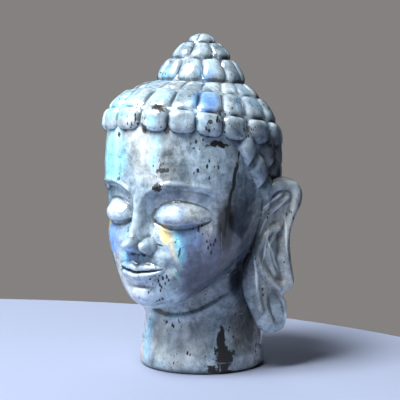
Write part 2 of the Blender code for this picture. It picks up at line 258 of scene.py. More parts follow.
def nose(across, up):
    """Straight bridge that rises to a rounded tip, with a wing on each side of it."""
    climb = np.clip((up - 1.14) / 0.84, 0, 1)
    half = 0.2 + 0.07 * (1 - climb) ** 2 + 0.22 * ramp(up, 1.72, 2.1)
    ridge = (0.075 + 0.265 * (1 - climb) ** 1.15) * np.exp(-(across / half) ** 2.4)
    ridge = ridge * ramp(-up, -2.2, -1.85) * ramp(up, 0.95, 1.14)
    tip = 0.43 * np.clip(1 - (across / 0.31) ** 2 - ((up - 1.145) / 0.2) ** 2, 0, 1) ** 0.9
    wing = 0.27 * np.clip(1 - ((across - 0.33) / 0.26) ** 2 - ((up - 1.1) / 0.165) ** 2, 0, 1) ** 0.9
    cheek = -0.025 * bell(across - 0.66, 0.12) * bell(up - 1.08, 0.16)
    nostril = -0.08 * bell(across - 0.2, 0.09) * bell(up - 0.975, 0.035)
    return soft_max(0.04, ridge, tip, wing) + cheek + nostril


def mouth(across, up):
    """Lips in a calm smile, the muzzle round them, the groove under them and the chin."""
    reach = across / 0.84
    meeting = 0.67 + 0.055 * reach**2 - 0.014 * bell(across, 0.15)
    bow = 0.165 * np.clip(1 - np.abs(reach) ** 2.4, 0, 1) ** 0.8 - 0.028 * bell(across, 0.12)
    fuller = 0.205 * np.clip(1 - np.abs(reach) ** 2.6, 0, 1) ** 0.8
    over = np.clip((up - meeting) / np.maximum(bow, 0.02), 0, 1)
    under = np.clip((meeting - up) / np.maximum(fuller, 0.02), 0, 1)
    shown = np.clip(1 - reach**2, 0, 1) ** 0.4
    lips = (0.08 * np.sin(np.pi * over**0.7) + 0.1 * np.sin(np.pi * under**0.62)) * shown
    slit = -0.018 * bell(up - meeting, 0.024) * ramp(-np.abs(reach), -1.1, -0.9)
    corner = -0.035 * bell(across - 0.92, 0.16) * bell(up - 0.75, 0.1)
    muzzle = 0.085 * bell(across, 0.95) * bell(up - 0.72, 0.36)
    groove = -0.055 * bell(across, 0.55) * bell(up - 0.40, 0.065)
    philtrum = -0.026 * bell(across, 0.1) * bell(up - 0.92, 0.08)
    ball = 0.085 * bell(across, 0.6) * bell(up - 0.2, 0.19)
    return lips + slit + corner + muzzle + groove + philtrum + ball


def face_relief(s, x, z):
    """How far the carved face stands forward of the plain skull."""
    third = s.face_height / 3
    across = np.abs(x) / (s.head_width / 5)
    up = (z - s.neck_height) / third
    cheek = 0.05 * bell(across - 1.45, 0.6) * bell(up - 1.1, 0.4)
    return third * (eyes(across, up) + nose(across, up) + mouth(across, up) + cheek)


def closed_mesh(name, rings, first, last, falling=None):
    """Mesh object through a stack of equal rings, closed by a point past each end. Each patch
    is split along its shorter diagonal, or as falling says, where that isn't zero."""
    rows, steps = rings.shape[:2]
    points = np.concatenate([rings.reshape(-1, 3), [first, last]])
    here = np.arange(rows * steps).reshape(rows, steps)
    after = np.roll(here, -1, axis=1)
    a, b, c, d = here[:-1], after[:-1], after[1:], here[1:]
    a, b, c, d = (corner.ravel() for corner in (a, b, c, d))
    short = (np.linalg.norm(points[a] - points[c], axis=1)
             <= np.linalg.norm(points[b] - points[d], axis=1))
    if falling is not None:
        wanted = falling[:-1].ravel()
        short = np.where(wanted == 0, short, wanted > 0)
    one = np.where(short[:, None], np.stack([a, b, c], 1), np.stack([a, b, d], 1))
    two = np.where(short[:, None], np.stack([a, c, d], 1), np.stack([b, c, d], 1))
    top = np.stack([np.full(steps, len(points) - 2), after[0], here[0]], 1)
    end = np.stack([np.full(steps, len(points) - 1), here[-1], after[-1]], 1)
    faces = np.concatenate([one, two, top, end])
    corners = points[faces]
    if np.linalg.det(corners).sum() < 0:
        faces = faces[:, ::-1]
    mesh = bpy.data.meshes.new(name)
    mesh.from_pydata(points, [], faces.tolist())
    body = bpy.data.objects.new(name, mesh)
    bpy.context.scene.collection.objects.link(body)
    return body


def skull_and_face(s, steps=258, count=162):
    """Rings of the skull from under the jaw to inside the hair, closest together at the front
    and from the chin to the brow, with the face carved on them."""
    turn = np.linspace(-1, 1, steps, endpoint=False)
    angle = np.radians(80 * turn + 100 * turn**5)
    share = np.interp(np.linspace(0, 1, count), (0, 0.05, 0.88, 1), (0, 0.06, 0.80, 1.06))
    angles, shares = np.meshgrid(angle, share)
    foot = foot_of_skull(s, angles)
    rings = skull(s, angles, foot + (s.neck_height + s.face_height - foot) * shares)
    carved = face_relief(s, rings[..., 0], rings[..., 2])
    rings[..., 1] -= carved * ramp(np.cos(angles), 0.0, 0.15)
    core = np.array([0, -s.head_forward / 2, s.neck_height + 0.2 * s.face_height])
    under = [core + (rings[0] - core) * part for part in (0.3, 0.5, 0.7, 0.85, 0.95)]
    top = (0, -s.head_forward, s.neck_height + s.face_height + 0.3 * s.hair_height)
    return closed_mesh("skull", np.concatenate([under, rings]), core, top)


def cushion(a, b):
    """Knob on a square of -1 to 1 each way: a rounded square by a power of 3.4, nearly flat
    on top and steep at its edge."""
    radius = (np.abs(a) ** 3.4 + np.abs(b) ** 3.4) ** (1 / 3.4)
    return (1 - np.clip(radius / 0.97, 0, 1) ** 2.8) ** 0.62


def knob_angles(count, first, steps):
    """Angles of the mesh's columns, moved a little so that each groove has a column on it."""
    groove = first + 360 / count * np.arange(-count, 2 * count + 1)
    nearest = np.round(groove / 360 * steps)
    return np.radians(np.interp(np.arange(steps), nearest, groove))


def scales(s, angle, place):
    """Relief of the scales behind the ears, how far outside them a point is, in steps of the
    pattern, and which way their nearest edge runs. Each is a petal two rows high, set between
    two of the row above."""
    turn = np.degrees(np.arctan2(np.sin(angle), np.cos(angle))) / 10
    across = np.abs(turn)
    down = place - len(KNOB_ROWS) - 0.2
    p = 2 * np.round((across + down) / 2)
    q = 2 * np.round((across - down) / 2)
    row = (p - q) / 2
    a, b = across + down - p, across - down - q
    below = np.where(row == 5, np.minimum(a + 1, 1 - b), 2.0 * (row > 5))
    above = np.where(row == -1, np.minimum(1 - a, b + 1), 2.0 * (row < -1))
    outside = np.maximum.reduce([below, above, 7.0 - (across - down), 0 * a])
    petal = np.clip(1 - np.abs(a) ** 3.2, 0, 1) * np.clip(1 - np.abs(b) ** 3.2, 0, 1)
    ridge = 0.3 * (1 - np.abs(a + b) / 2) * petal
    edge = np.where(np.abs(a) > np.abs(b), -1, 1) * np.sign(turn)
    return 1.25 * ramp(petal, -0.2, 1.0) - 0.45 + ridge, outside, edge


def hair_point(s, angle, place, stand):
    """Point of the hair's plain surface, at rows counted from the top, raised by stand."""
    knobs = len(KNOB_ROWS)
    lines = np.column_stack([np.arange(knobs + 1), GROOVE_LINES])
    knot, out, knot_up, hair_up, drop, slope = between(lines, place)
    hairline = s.neck_height + s.face_height
    fall = s.hair_drop * (1 - np.cos(angle)) / 2
    circle = np.stack([np.sin(angle), -np.cos(angle)], -1)
    middle = circle * (s.topknot_radius * knot)[..., None]
    middle[..., 1] -= 0.5 * MM * knot
    past = np.maximum(place - knobs, 0) * s.scale_height
    band = skull(s, angle, hairline - fall - past, 0.25 * MM)
    xy = middle + (band[..., :2] - middle) * out[..., None]
    z = hairline + s.hair_height * hair_up + s.topknot_height * knot_up - fall * drop - past
    lean = np.radians(slope)
    xy += circle * (stand * np.cos(lean))[..., None]
    return np.concatenate([xy, (z + stand * np.sin(lean))[..., None]], -1)


def hair(s, steps=270):
    """Topknot, rows of knobs and scales. A knob is a cushion between two grooves of its ring,
    each a little different in height, lean and shape from its neighbours."""
    knobs = len(KNOB_ROWS)
    rows = [row + (step + 1) / fine for row, fine in enumerate(KNOB_MESH_ROWS)
            for step in range(fine)]
    rows += [knobs + (step + 1) / SCALE_MESH_ROWS for step in range(LOW_MESH_ROWS)]
    place = np.repeat(np.array(rows)[:, None], steps, 1)
    angle = np.empty_like(place)
    relief = np.zeros_like(place)
    rng = np.random.default_rng(7)
    for tier, (count, first, height) in enumerate(KNOB_ROWS):
        at = (place[:, 0] > tier) & (place[:, 0] <= tier + 1)
        if tier == knobs - 1:
            at |= place[:, 0] > knobs
        angle[at] = knob_angles(count, first, steps)
        turns = (np.degrees(angle[at]) - first) * count / 360
        own = np.floor(turns).astype(int) % count
        a = 2 * (turns % 1) - 1
        b = 2 * np.clip(place[at] - tier, 0, 1) - 1
        tall, lean, nod = rng.uniform(0.86, 1.08, count), *rng.uniform(-0.09, 0.09, (2, count))
        bump = cushion(a, b) * (tall[own] + lean[own] * a + nod[own] * b)
        if tier == 0:
            b = np.clip(place[at], 0, 1)
            bump = cushion(0 * a, b) * (1 - 0.5 * ramp(b, 0.0, 0.7) * (1 - cushion(a, 0 * b)))
        relief[at] = height * bump
        if tier == knobs - 1:
            relief[at] -= 1.4 * MM * (1 - bump) * ramp(b, 0.2, 1.0)
    scale, outside, edge = scales(s, angle, place)
    scale = s.scale_relief * scale - 4 * MM * ramp(outside, 0.0, 0.5)
    row = np.where(place > knobs, HIDDEN, relief)
    stand = np.maximum(row, np.where(place > knobs - 0.8, scale, HIDDEN))
    stand = np.maximum(stand, DEEPEST)
    rings = hair_point(s, angle, place, stand)
    top = hair_point(s, np.zeros(1), np.zeros(1), np.array([KNOB_ROWS[0][2]]))[0]
    low = (0, -s.head_forward, s.neck_height + 0.4 * s.face_height)
    return closed_mesh("hair", rings, top, low, edge * (place > knobs))


def neck(s, steps=132):
    """Turned neck: a radius that eases from the foot to the top, a quarter-round edge at the
    ground, and a step under the chin along a line that climbs with the cosine of the angle."""
    turn = np.radians(np.linspace(0, 90, 7))
    inset = np.sin(turn) * s.neck_edge - s.neck_edge
    low = (1 - np.cos(turn)) * s.neck_edge
    z = np.concatenate([low, s.neck_height * np.concatenate([
        np.linspace(0.16, 0.7, 10), np.linspace(0.73, 1.35, 34), np.linspace(1.4, 1.9, 4)])])
    easing = ramp(z, 0.1 * s.neck_height, 0.9 * s.neck_height)
    radius = s.neck_foot_radius + (s.neck_top_radius - s.neck_foot_radius) * easing
    radius -= 0.25 * s.neck_top_radius * ramp(z, 1.6 * s.neck_height, 2 * s.neck_height)
    radius[:7] += inset
    angles, heights = np.meshgrid(np.linspace(0, 2 * np.pi, steps, endpoint=False), z)
    radii = radius[:, None] + 0 * angles
    fold = s.fold_height + s.fold_climb * (1 - np.cos(angles))
    front = ramp(np.cos(angles), 0.45, 0.75)
    radii -= s.fold_depth * ramp(heights - fold, -0.35 * MM, 0.35 * MM) * front
    radii += 0.5 * s.fold_depth * bell(heights - fold + 0.9 * MM, 0.9 * MM) * front
    rings = np.stack([radii * np.sin(angles), -radii * np.cos(angles), heights], -1)
    wobble = 0.12 * MM * ripple(*np.moveaxis(rings, -1, 0), 9 * MM, 3) * ramp(heights, 0, 3 * MM)
    rings[..., :2] *= (1 + wobble / radii)[..., None]
    return closed_mesh("neck", rings, (0, 0, 0), (0, 0, 1.9 * s.neck_height))


def smooth_line(points):
    """A smooth line through the points, with five stretches between each two of them."""
    count = len(points) - 1
    stations = np.column_stack([np.arange(count + 1), points])
    return eased(stations, np.linspace(0, count, 5 * count + 1)).T


def ear_relief(s, out, down):
    """Relief on the outer face of an ear, from how far out and how far down a point is, in
    millimetres: a rolled rim, a bowl inside it, folds, and a slanting dish in the lobe."""
    rim_far = away_from(out, down, smooth_line(RIM_LINE))
    rim_half = 1.9 + 0.35 * ramp(down, 18, 30)
    rim = s.rim_relief * np.clip(1 - (rim_far / rim_half) ** 2, 0, 1) ** 0.75
    rim *= ramp(-down, -34.3, -32.6) * ramp(out - 0.35 * down, -2.2, 0.6)
    bowl = -s.bowl_depth * bell(out - 5.4, 3.3) * bell(down - 11.5, 5.5) * ramp(rim_far, 0.6, 2.2)
    trough = -0.8 * MM * bell(away_from(out, down, TROUGH_LINE), 1.0)
    fold = 0.85 * MM * ramp(-away_from(out, down, smooth_line(FOLD_LINE)), -1.6, -0.1)
    inner = 0.5 * MM * ramp(-away_from(out, down, smooth_line(INNER_FOLD)), -1.0, 0.0)
    crease = 0.5 * MM * ramp(-away_from(out, down, smooth_line(CREASE_LINE)), -1.2, 0.0)
    strokes = sum(0.5 * MM * np.clip(1 - away_from(out, down, line) / 0.75, 0, 1) ** 0.7
                  for line in STROKES)
    lean = math.radians(DISH_LEAN)
    aside, below = out - DISH_CENTRE[0], down - DISH_CENTRE[1]
    a = aside * math.cos(lean) + below * math.sin(lean)
    b = below * math.cos(lean) - aside * math.sin(lean)
    oval = np.hypot(a / DISH_RADII[0], b / DISH_RADII[1])
    dish = -s.dish_depth * ramp(-oval, -1.0, -0.6)
    return rim + bowl + trough + fold + inner + crease + strokes + dish


def ear(s, side, steps=78, count=124):
    """One ear: ovals from inner edge to outer edge at each height, flat on both faces, with
    relief on the outer one, and a root behind it that joins the head. The right lobe hangs
    further back."""
    share = np.linspace(0, 1, count)
    share = share - 0.04 * np.sin(2 * np.pi * share)
    inner, outer = eased(EAR_SECTIONS, share)
    front = int(steps * 0.7)
    turn = np.concatenate([np.linspace(0, np.pi, front, endpoint=False),
                           np.linspace(np.pi, 2 * np.pi, steps - front, endpoint=False)])
    rounding = np.abs(np.cos(turn)) ** 0.85 * np.sign(np.cos(turn))
    share = share[:, None] + 0 * turn
    inner, outer = inner[:, None] * s.ear_width, outer[:, None] * s.ear_width
    out = (inner + outer) / 2 + (outer - inner) / 2 * rounding
    down = s.ear_length * share
    slim = np.sqrt(np.clip(1 - (2 * share - 1) ** 10, 0.03, 1))
    sine = np.sin(turn)
    thick = s.ear_thickness / 2 * slim * np.sign(sine) * np.abs(sine) ** 0.5
    thick = thick + ear_relief(s, out / MM, down / MM) * ramp(sine, 0.0, 0.4)
    root = s.ear_root * bell(out - inner - 0.15 * s.ear_width, 0.25 * s.ear_width)
    root *= ramp(share, -0.02, 0.12) * (1 - ramp(share, 0.5, 0.66))
    thick = thick - root * ramp(-sine, 0.0, 0.3)
    sweep = math.radians(EAR_SWEEP)
    x = s.ear_out + out * math.cos(sweep) + thick * math.sin(sweep)
    y = s.ear_back - s.head_forward + out * math.sin(sweep) - thick * math.cos(sweep)
    back = s.lobe_back * ramp(share, 0.45, 0.95) * (side < 0)
    rings = np.stack([side * (x - LOBE_IN * back), y + back, s.ear_top - down], -1)
    return closed_mesh("ear", rings, rings[0].mean(0), rings[-1].mean(0))


def unite(body, others):
    """Unites the other closed meshes with body and removes them."""
    for other in others:
        union = body.modifiers.new(other.name, "BOOLEAN")
        union.operation = "UNION"
        union.solver = "MANIFOLD"
        union.object = other
    graph = bpy.context.evaluated_depsgraph_get()
    whole = bpy.data.meshes.new_from_object(body.evaluated_get(graph))
    body.modifiers.clear()
    body.data = whole
    for other in others:
        bpy.data.objects.remove(other)
    return body


class Wiring:
    """Adds nodes to a material and links them, each in one line."""

    def __init__(self, material):
        self.tree = material.node_tree

    def add(self, kind, settings=None, **inputs):
        node = self.tree.nodes.new(kind)
        for name, value in (settings or {}).items():
            setattr(node, name, value)
        for name, value in inputs.items():
            self.put(node.inputs[name.replace("_", " ")], value)
        return node

    def put(self, socket, value):
        """Links an output to the socket, or sets a constant on it."""
        if isinstance(value, bpy.types.NodeSocket):
            self.tree.links.new(value, socket)
        else:
            socket.default_value = value

    def math(self, kind, *values):
        node = self.tree.nodes.new("ShaderNodeMath")
        node.operation = kind
        for socket, value in zip(node.inputs, values):
            self.put(socket, value)
        return node.outputs[0]

    def times(self, one, other):
        return self.math("MULTIPLY", one, other)

    def vector_math(self, kind, *values):
        node = self.tree.nodes.new("ShaderNodeVectorMath")
        node.operation = kind
        for socket, value in zip(node.inputs, values):
            self.put(socket, value)
        return node.outputs["Value" if kind == "DOT_PRODUCT" else "Vector"]

    def fade(self, value, low, high, to_low=0.0, to_high=1.0):
        """Value mapped from low and high to to_low and to_high with eased ends."""
        node = self.add("ShaderNodeMapRange", {"interpolation_type": "SMOOTHSTEP"},
                        Value=value, From_Min=low, From_Max=high, To_Min=to_low, To_Max=to_high)
        return node.outputs[0]

    def mix(self, share, one, other, blend="MIX"):
        """One colour at a share of 0 and the other at 1."""
        node = self.tree.nodes.new("ShaderNodeMix")
        node.data_type = "RGBA"
        node.blend_type = blend
        self.put(node.inputs[0], share)
        self.put(node.inputs[6], one)
        self.put(node.inputs[7], other)
        return node.outputs[2]

    def lit(self, colour, value):
        """The colour times the value."""
        return self.add("ShaderNodeHueSaturation", Color=colour, Value=value).outputs[0]

    def noise(self, where, scale, detail=2.0, roughness=0.5, distortion=0.0):
        node = self.add("ShaderNodeTexNoise", Vector=where, Scale=scale, Detail=detail,
                        Roughness=roughness, Distortion=distortion)
        return node.outputs["Fac"]

    def cells(self, where, scale, stretch, turn=(0, 0, 0), feature="F1"):
        """Outputs of crystals of the given scale in a stretched and turned space."""
        return self.add("ShaderNodeTexVoronoi", {"feature": feature}, Scale=scale,
                        Vector=self.stretched(where, stretch, turn)).outputs

    def stretched(self, where, scale, turn=(0, 0, 0)):
        node = self.add("ShaderNodeMapping", Vector=where, Scale=scale, Rotation=turn)
        return node.outputs[0]

    def ramp(self, value, stops):
        node = self.add("ShaderNodeValToRGB", Fac=value)
        band = node.color_ramp
        while len(band.elements) < len(stops):
            band.elements.new(0.5)
        for element, (place, colour) in zip(band.elements, stops):
            element.position = place
            element.color = (*colour, 1)
        return node.outputs[0]

    def gradient(self, kind, where, at, size, turn):
        """A gradient texture whose own space is moved, turned and sized, in millimetres."""
        node = self.add("ShaderNodeTexGradient", {"gradient_type": kind}, Vector=where)
        node.texture_mapping.vector_type = "TEXTURE"
        node.texture_mapping.translation = at * MM
        node.texture_mapping.rotation = turn
        node.texture_mapping.scale = Vector(size) * MM
        return node.outputs["Fac"]

    def blob(self, where, at, radii, bearing, tilt, reach=1.0):
        """1 at the centre of an ellipsoid, falling evenly to 0 at reach times its radii. at and
        radii are in millimetres. Its first axis runs level across the bearing, then tilts."""
        turn = Euler((0, math.radians(tilt), math.radians(bearing)))
        return self.gradient("SPHERICAL", where, Vector(at), [v * reach for v in radii], turn)

    def across(self, where, at, radii, bearing, tilt):
        """0 at the left end of that ellipsoid's first axis and 1 at its right end."""
        turn = Euler((0, math.radians(tilt), math.radians(bearing)))
        left = Vector(at) - turn.to_matrix() @ Vector((radii[0], 0, 0))
        return self.gradient("LINEAR", where, left, (2 * radii[0], radii[1], radii[2]), turn)


def even(*colours):
    """Stops of a ramp at equal distances."""
    return tuple(zip(np.linspace(0, 1, len(colours)).tolist(), colours))


# Places where the flash is caught, and two painted highlights on the lids: centre, radii across,
# in depth and upwards, bearing, tilt, part of the radii over which the edge fades, strength, and
# the colours from left to right
FLASHES_AND_LID_HIGHLIGHTS = (
    ((-10.5, -28.5, 65.0), (9.5, 10, 10.5), 20, 14, 0.6, 0.9,
     even((0.45, 0.92, 1.0), (0.38, 0.86, 1.0), (0.42, 0.78, 0.95))),
    ((4.0, -27.0, 83.5), (6.0, 6, 3.4), 35, 0, 0.6, 0.6,
     even((0.35, 0.8, 0.95), (0.42, 0.78, 0.98), (0.4, 0.62, 0.92))),
    ((5.5, -31.5, 76.0), (2.6, 5, 3.6), 35, 0, 0.7, 0.6,
     even((0.6, 0.7, 0.98), (0.4, 0.8, 1.0), (0.5, 0.8, 0.92))),
    ((16.5, -24.0, 76.0), (3.4, 5, 3.8), 35, 0, 0.7, 0.5,
     even((0.45, 0.88, 0.95), (0.45, 0.75, 0.9), (0.45, 0.62, 0.85))),
    ((24.0, -10.0, 82.0), (4.5, 6, 5.0), 60, 0, 0.7, 0.55,
     even((0.35, 0.7, 0.95), (0.25, 0.45, 0.85), (0.3, 0.45, 0.7))),
    ((-8.0, -27.0, 79.5), (10.0, 9, 5.5), 20, 0, 0.5, 0.85,
     even((0.35, 0.85, 0.95), (0.45, 0.85, 1.0), (0.55, 0.75, 0.95))),
    ((6.4, -31.0, 67.5), (2.6, 8, 8.0), 35, 8, 0.6, 0.65,
     even((0.5, 0.72, 0.95), (0.5, 0.88, 0.98), (0.72, 0.82, 0.95))),
    ((-16.2, -22.4, 43.0), (2.8, 9, 8.5), 35, -5, 0.25, 0.95,
     ((0.0, (1.0, 0.7, 0.35)), (0.42, (1.0, 0.9, 0.5)), (0.62, (0.6, 0.95, 0.9)),
      (1.0, (0.25, 0.7, 1.0)))),
    ((-10.8, -29.4, 41.5), (2.6, 7, 6.0), 35, -10, 0.35, 0.85,
     even((0.22, 0.6, 1.0), (0.2, 0.42, 0.95), (0.3, 0.42, 0.75))),
    ((9.0, -30.6, 44.0), (1.7, 7, 3.6), 35, -16, 0.25, 0.9,
     even((0.75, 0.9, 0.5), (1.0, 0.86, 0.35), (1.0, 0.62, 0.3))),
    ((13.0, -28.8, 40.5), (3.1, 8, 6.2), 35, -8, 0.35, 0.95,
     ((0.0, (1.0, 0.55, 0.25)), (0.16, (1.0, 0.88, 0.6)), (0.4, (0.35, 0.85, 1.0)),
      (1.0, (0.2, 0.45, 0.85)))),
    ((11.3, -28.0, 32.4), (0.8, 5, 2.0), 35, -20, 0.3, 0.8,
     even((0.8, 0.85, 0.35), (0.4, 0.85, 0.8), (0.35, 0.6, 0.85))),
    ((-1.5, -34.5, 36.5), (3.2, 9, 7.0), 35, 6, 0.4, 0.75,
     even((0.3, 0.8, 0.95), (0.25, 0.55, 0.95), (0.35, 0.45, 0.8))),
    # Painted highlight on the near lid, pale blue-white
    ((10.8, -30.0, 50.0), (6.4, 6, 3.4), 20, 0, 0.6, 0.7,
     even((0.3, 0.46, 0.85), (0.62, 0.74, 0.98), (0.4, 0.6, 0.9))),
    ((15.5, -27.5, 43.5), (4.6, 8, 5.5), 35, -15, 0.8, 0.6,
     even((0.45, 0.88, 1.0), (0.3, 0.62, 0.92), (0.2, 0.38, 0.7))),
    ((-1.0, -34.0, 26.5), (9.0, 8, 5.0), 10, 0, 0.7, 0.85,
     even((0.55, 0.8, 0.95), (0.8, 0.86, 1.0), (0.5, 0.62, 0.9))),
    # Painted highlight on the far lid, pale blue-white
    ((-10.8, -30.0, 50.0), (6.4, 6, 3.4), -20, 0, 0.6, 0.7,
     even((0.55, 0.66, 0.95), (0.7, 0.78, 1.0), (0.45, 0.6, 0.9))),
    ((15.5, -19.5, 81.0), (5.5, 8, 4.2), 35, 0, 0.4, 0.85,
     even((0.3, 0.65, 0.95), (0.16, 0.36, 0.85), (0.25, 0.45, 0.8))),
    ((8.5, -8.5, 89.0), (3.4, 6, 4.5), 35, 0, 0.4, 0.75,
     even((0.35, 0.7, 0.95), (0.28, 0.5, 0.88), (0.5, 0.6, 0.75))),
    ((-4.0, -12.5, 88.0), (5.5, 7, 5.0), 35, 0, 0.5, 0.7,
     even((0.3, 0.75, 0.9), (0.35, 0.65, 0.95), (0.45, 0.65, 0.9))),
    ((-8.5, -15.0, 10.0), (2.0, 7, 10.0), 35, 4, 0.6, 0.5,
     even((0.35, 0.6, 0.85), (0.3, 0.62, 0.85), (0.4, 0.55, 0.75))),
)

# Zones of other tone over the body: centre, radii, bearing, tilt, part that fades, strength and
# colour. The dark zones on the right of the face, over the jaw, behind the jaw and on the right of
# the neck are painted shade, marked below.
ZONES = (
    # Painted shade over the right side of the face
    ((23.0, -12.0, 38.0), (12.0, 14, 26.0), 55, 0, 0.65, 0.85, (0.06, 0.07, 0.1)),
    ((16.5, -22.5, 35.0), (6.5, 9, 12.0), 35, 12, 0.35, 0.65, (0.12, 0.14, 0.27)),
    # Painted shade over the right of the jaw
    ((15.0, -20.0, 29.0), (9.5, 12, 12.0), 35, 0, 0.7, 0.85, (0.06, 0.068, 0.11)),
    ((3.0, -15.0, 9.0), (12.0, 10, 10.0), 35, 0, 0.5, 0.8, (0.56, 0.59, 0.58)),
    # Painted shade on the right of the neck
    ((16.0, -2.0, 12.0), (9.0, 10, 15.0), 50, 0, 0.7, 0.75, (0.15, 0.135, 0.115)),
    ((25.5, 0.0, 36.0), (8.0, 10, 25.0), 51, 0, 0.6, 0.5, (0.31, 0.33, 0.31)),
    ((15.0, -26.0, 43.5), (4.0, 8, 5.0), 35, -30, 0.25, 0.55, (0.16, 0.25, 0.48)),
    ((21.3, -17.4, 45.0), (3.2, 7, 10.5), 35, -3, 0.5, 0.95, (0.026, 0.024, 0.017)),
    # Painted shadow behind the jaw, between it and the ear
    ((16.4, -5.5, 29.0), (3.4, 7, 9.0), 60, 0, 0.7, 0.95, (0.03, 0.034, 0.05)),
    ((9.0, -27.5, 55.0), (7.0, 7, 2.6), 20, 6, 0.7, 0.6, (0.16, 0.23, 0.36)),
    ((24.5, -8.0, 75.0), (6.0, 9, 6.5), 70, 0, 0.6, 0.75, (0.48, 0.58, 0.66)),
    ((26.0, 2.0, 64.0), (9.0, 12, 10.0), 90, 0, 0.5, 0.7, (0.075, 0.07, 0.07)),
)

# Pale hair lines along the near ear: half width, depth and bearing of all of them, and the
# centre, half length and tilt of each
LINE_HALF_WIDTH = 0.4
LINE_DEPTH = 5
LINE_BEARING = 35
PALE_LINES = (
    ((26.3, 0.3, 52.0), 5.2, 51),
    ((27.1, 1.3, 49.5), 4.9, 48),
    ((24.5, -2.0, 45.1), 4.9, 24),
    ((26.0, 0.0, 35.8), 8.6, -19),
    ((22.9, -4.0, 30.1), 6.5, -4),
    ((28.7, 3.3, 40.6), 8.1, -3),
    ((24.6, -1.6, 38.5), 6.5, 10),
)

# Dark marks: how many radii out the field of each reaches, the values of the field between
# which it fades in, how far noise moves them, and the centre, radii, bearing, tilt, raggedness
# and strength of each
SHADOW_REACH = 3.0
SHADOW_EDGE = (0.667, 0.713)
SHADOW_WANDER = -0.73
SHADOWS = (
    ((14.6, -9.4, 5.0), (3.1, 6, 4.6), 35, 0, 1.0, 1.0),
    ((14.4, -9.6, 9.6), (1.25, 6, 5.6), 35, 2, 0.75, 1.0),
    ((12.0, -11.2, 2.6), (2.4, 6, 1.7), 35, -18, 1.2, 1.0),
    ((15.6, -8.6, 0.8), (2.6, 6, 1.2), 35, 0, 1.0, 1.0),
    ((22.2, -15.8, 55.5), (0.6, 10, 13.8), 35, 11, 0.7, 0.95),
    ((19.4, -20.8, 69.5), (1.5, 5, 0.8), 35, 0, 2.2, 1.0),
    ((21.4, -19.4, 69.2), (1.5, 5, 0.9), 35, 0, 2.2, 1.0),
    ((9.0, -30.8, 62.0), (1.5, 5, 0.7), 35, -6, 2.2, 0.9),
    ((7.0, -31.0, 57.0), (1.6, 5, 1.0), 35, 24, 2.0, 1.0),
    ((17.5, -22.0, 69.0), (1.2, 5, 0.6), 35, 0, 2.4, 1.0),
    ((-8.0, -28.5, 72.0), (0.8, 5, 1.0), 20, 0, 2.4, 1.0),
    ((12.5, -28.0, 38.6), (0.3, 5, 1.5), 35, 18, 1.1, 0.9),
    ((8.2, -31.0, 40.6), (1.2, 5, 0.5), 35, 12, 1.2, 0.9),
    ((-6.0, -30.5, 33.0), (0.35, 5, 1.2), 35, 20, 1.0, 0.8),
    ((6.4, -29.2, 79.2), (1.8, 4, 1.0), 35, 8, 2.0, 1.0),
    ((10.3, -30.5, 73.9), (0.7, 4, 1.7), 35, 15, 1.8, 0.9),
    ((3.4, -32.2, 73.2), (0.8, 4, 1.6), 35, -12, 1.8, 0.9),
    ((19.2, -22.0, 75.8), (0.7, 4, 0.6), 35, 0, 1.0, 0.9),
)

# Colours laid over the body: black of the needles and seams, painted shade in the grooves, painted
# highlight on the ridges, and the pale lines and cracks
DARK_MINERAL = (0.012, 0.011, 0.010, 1)
GROOVE_SHADE_TONE = (0.05, 0.06, 0.075, 1)
RIDGE_HIGHLIGHT_TONE = (0.70, 0.80, 0.84, 1)
PALE_TONE = (0.72, 0.80, 0.84, 1)
CRACK_TONE = (0.75, 0.80, 0.82, 1)

# Directions of a surface that catch the flash, in front and behind
FLASH_FRONT = (-0.80, -0.50, 0.33)
FLASH_BEHIND = (0.45, 0.85, 0.25)

# Lamps: name, azimuth and elevation in degrees, distance, size, power and colour
LAMPS = (
    ("window", -12, 60, 0.8, (0.34, 0.34), 14.0, (0.98, 0.99, 1.0)),
    ("left_panel", -50, 14, 0.9, (0.7, 0.7), 3.4, (0.86, 0.94, 1.0)),
    ("back_fill", 215, 40, 1.0, (0.6, 0.6), 2.5, (1.0, 0.98, 0.96)),
    ("sheen", -32, 48, 0.8, (0.7, 0.45), 9.0, (0.95, 0.98, 1.0)),
)
LAMP_TARGET = (0, -0.005, 0.055)

# Oval of the floor: its middle and its half widths
FLOOR_MIDDLE = (-0.011, -0.529)
FLOOR_HALF = (0.35, 0.6)


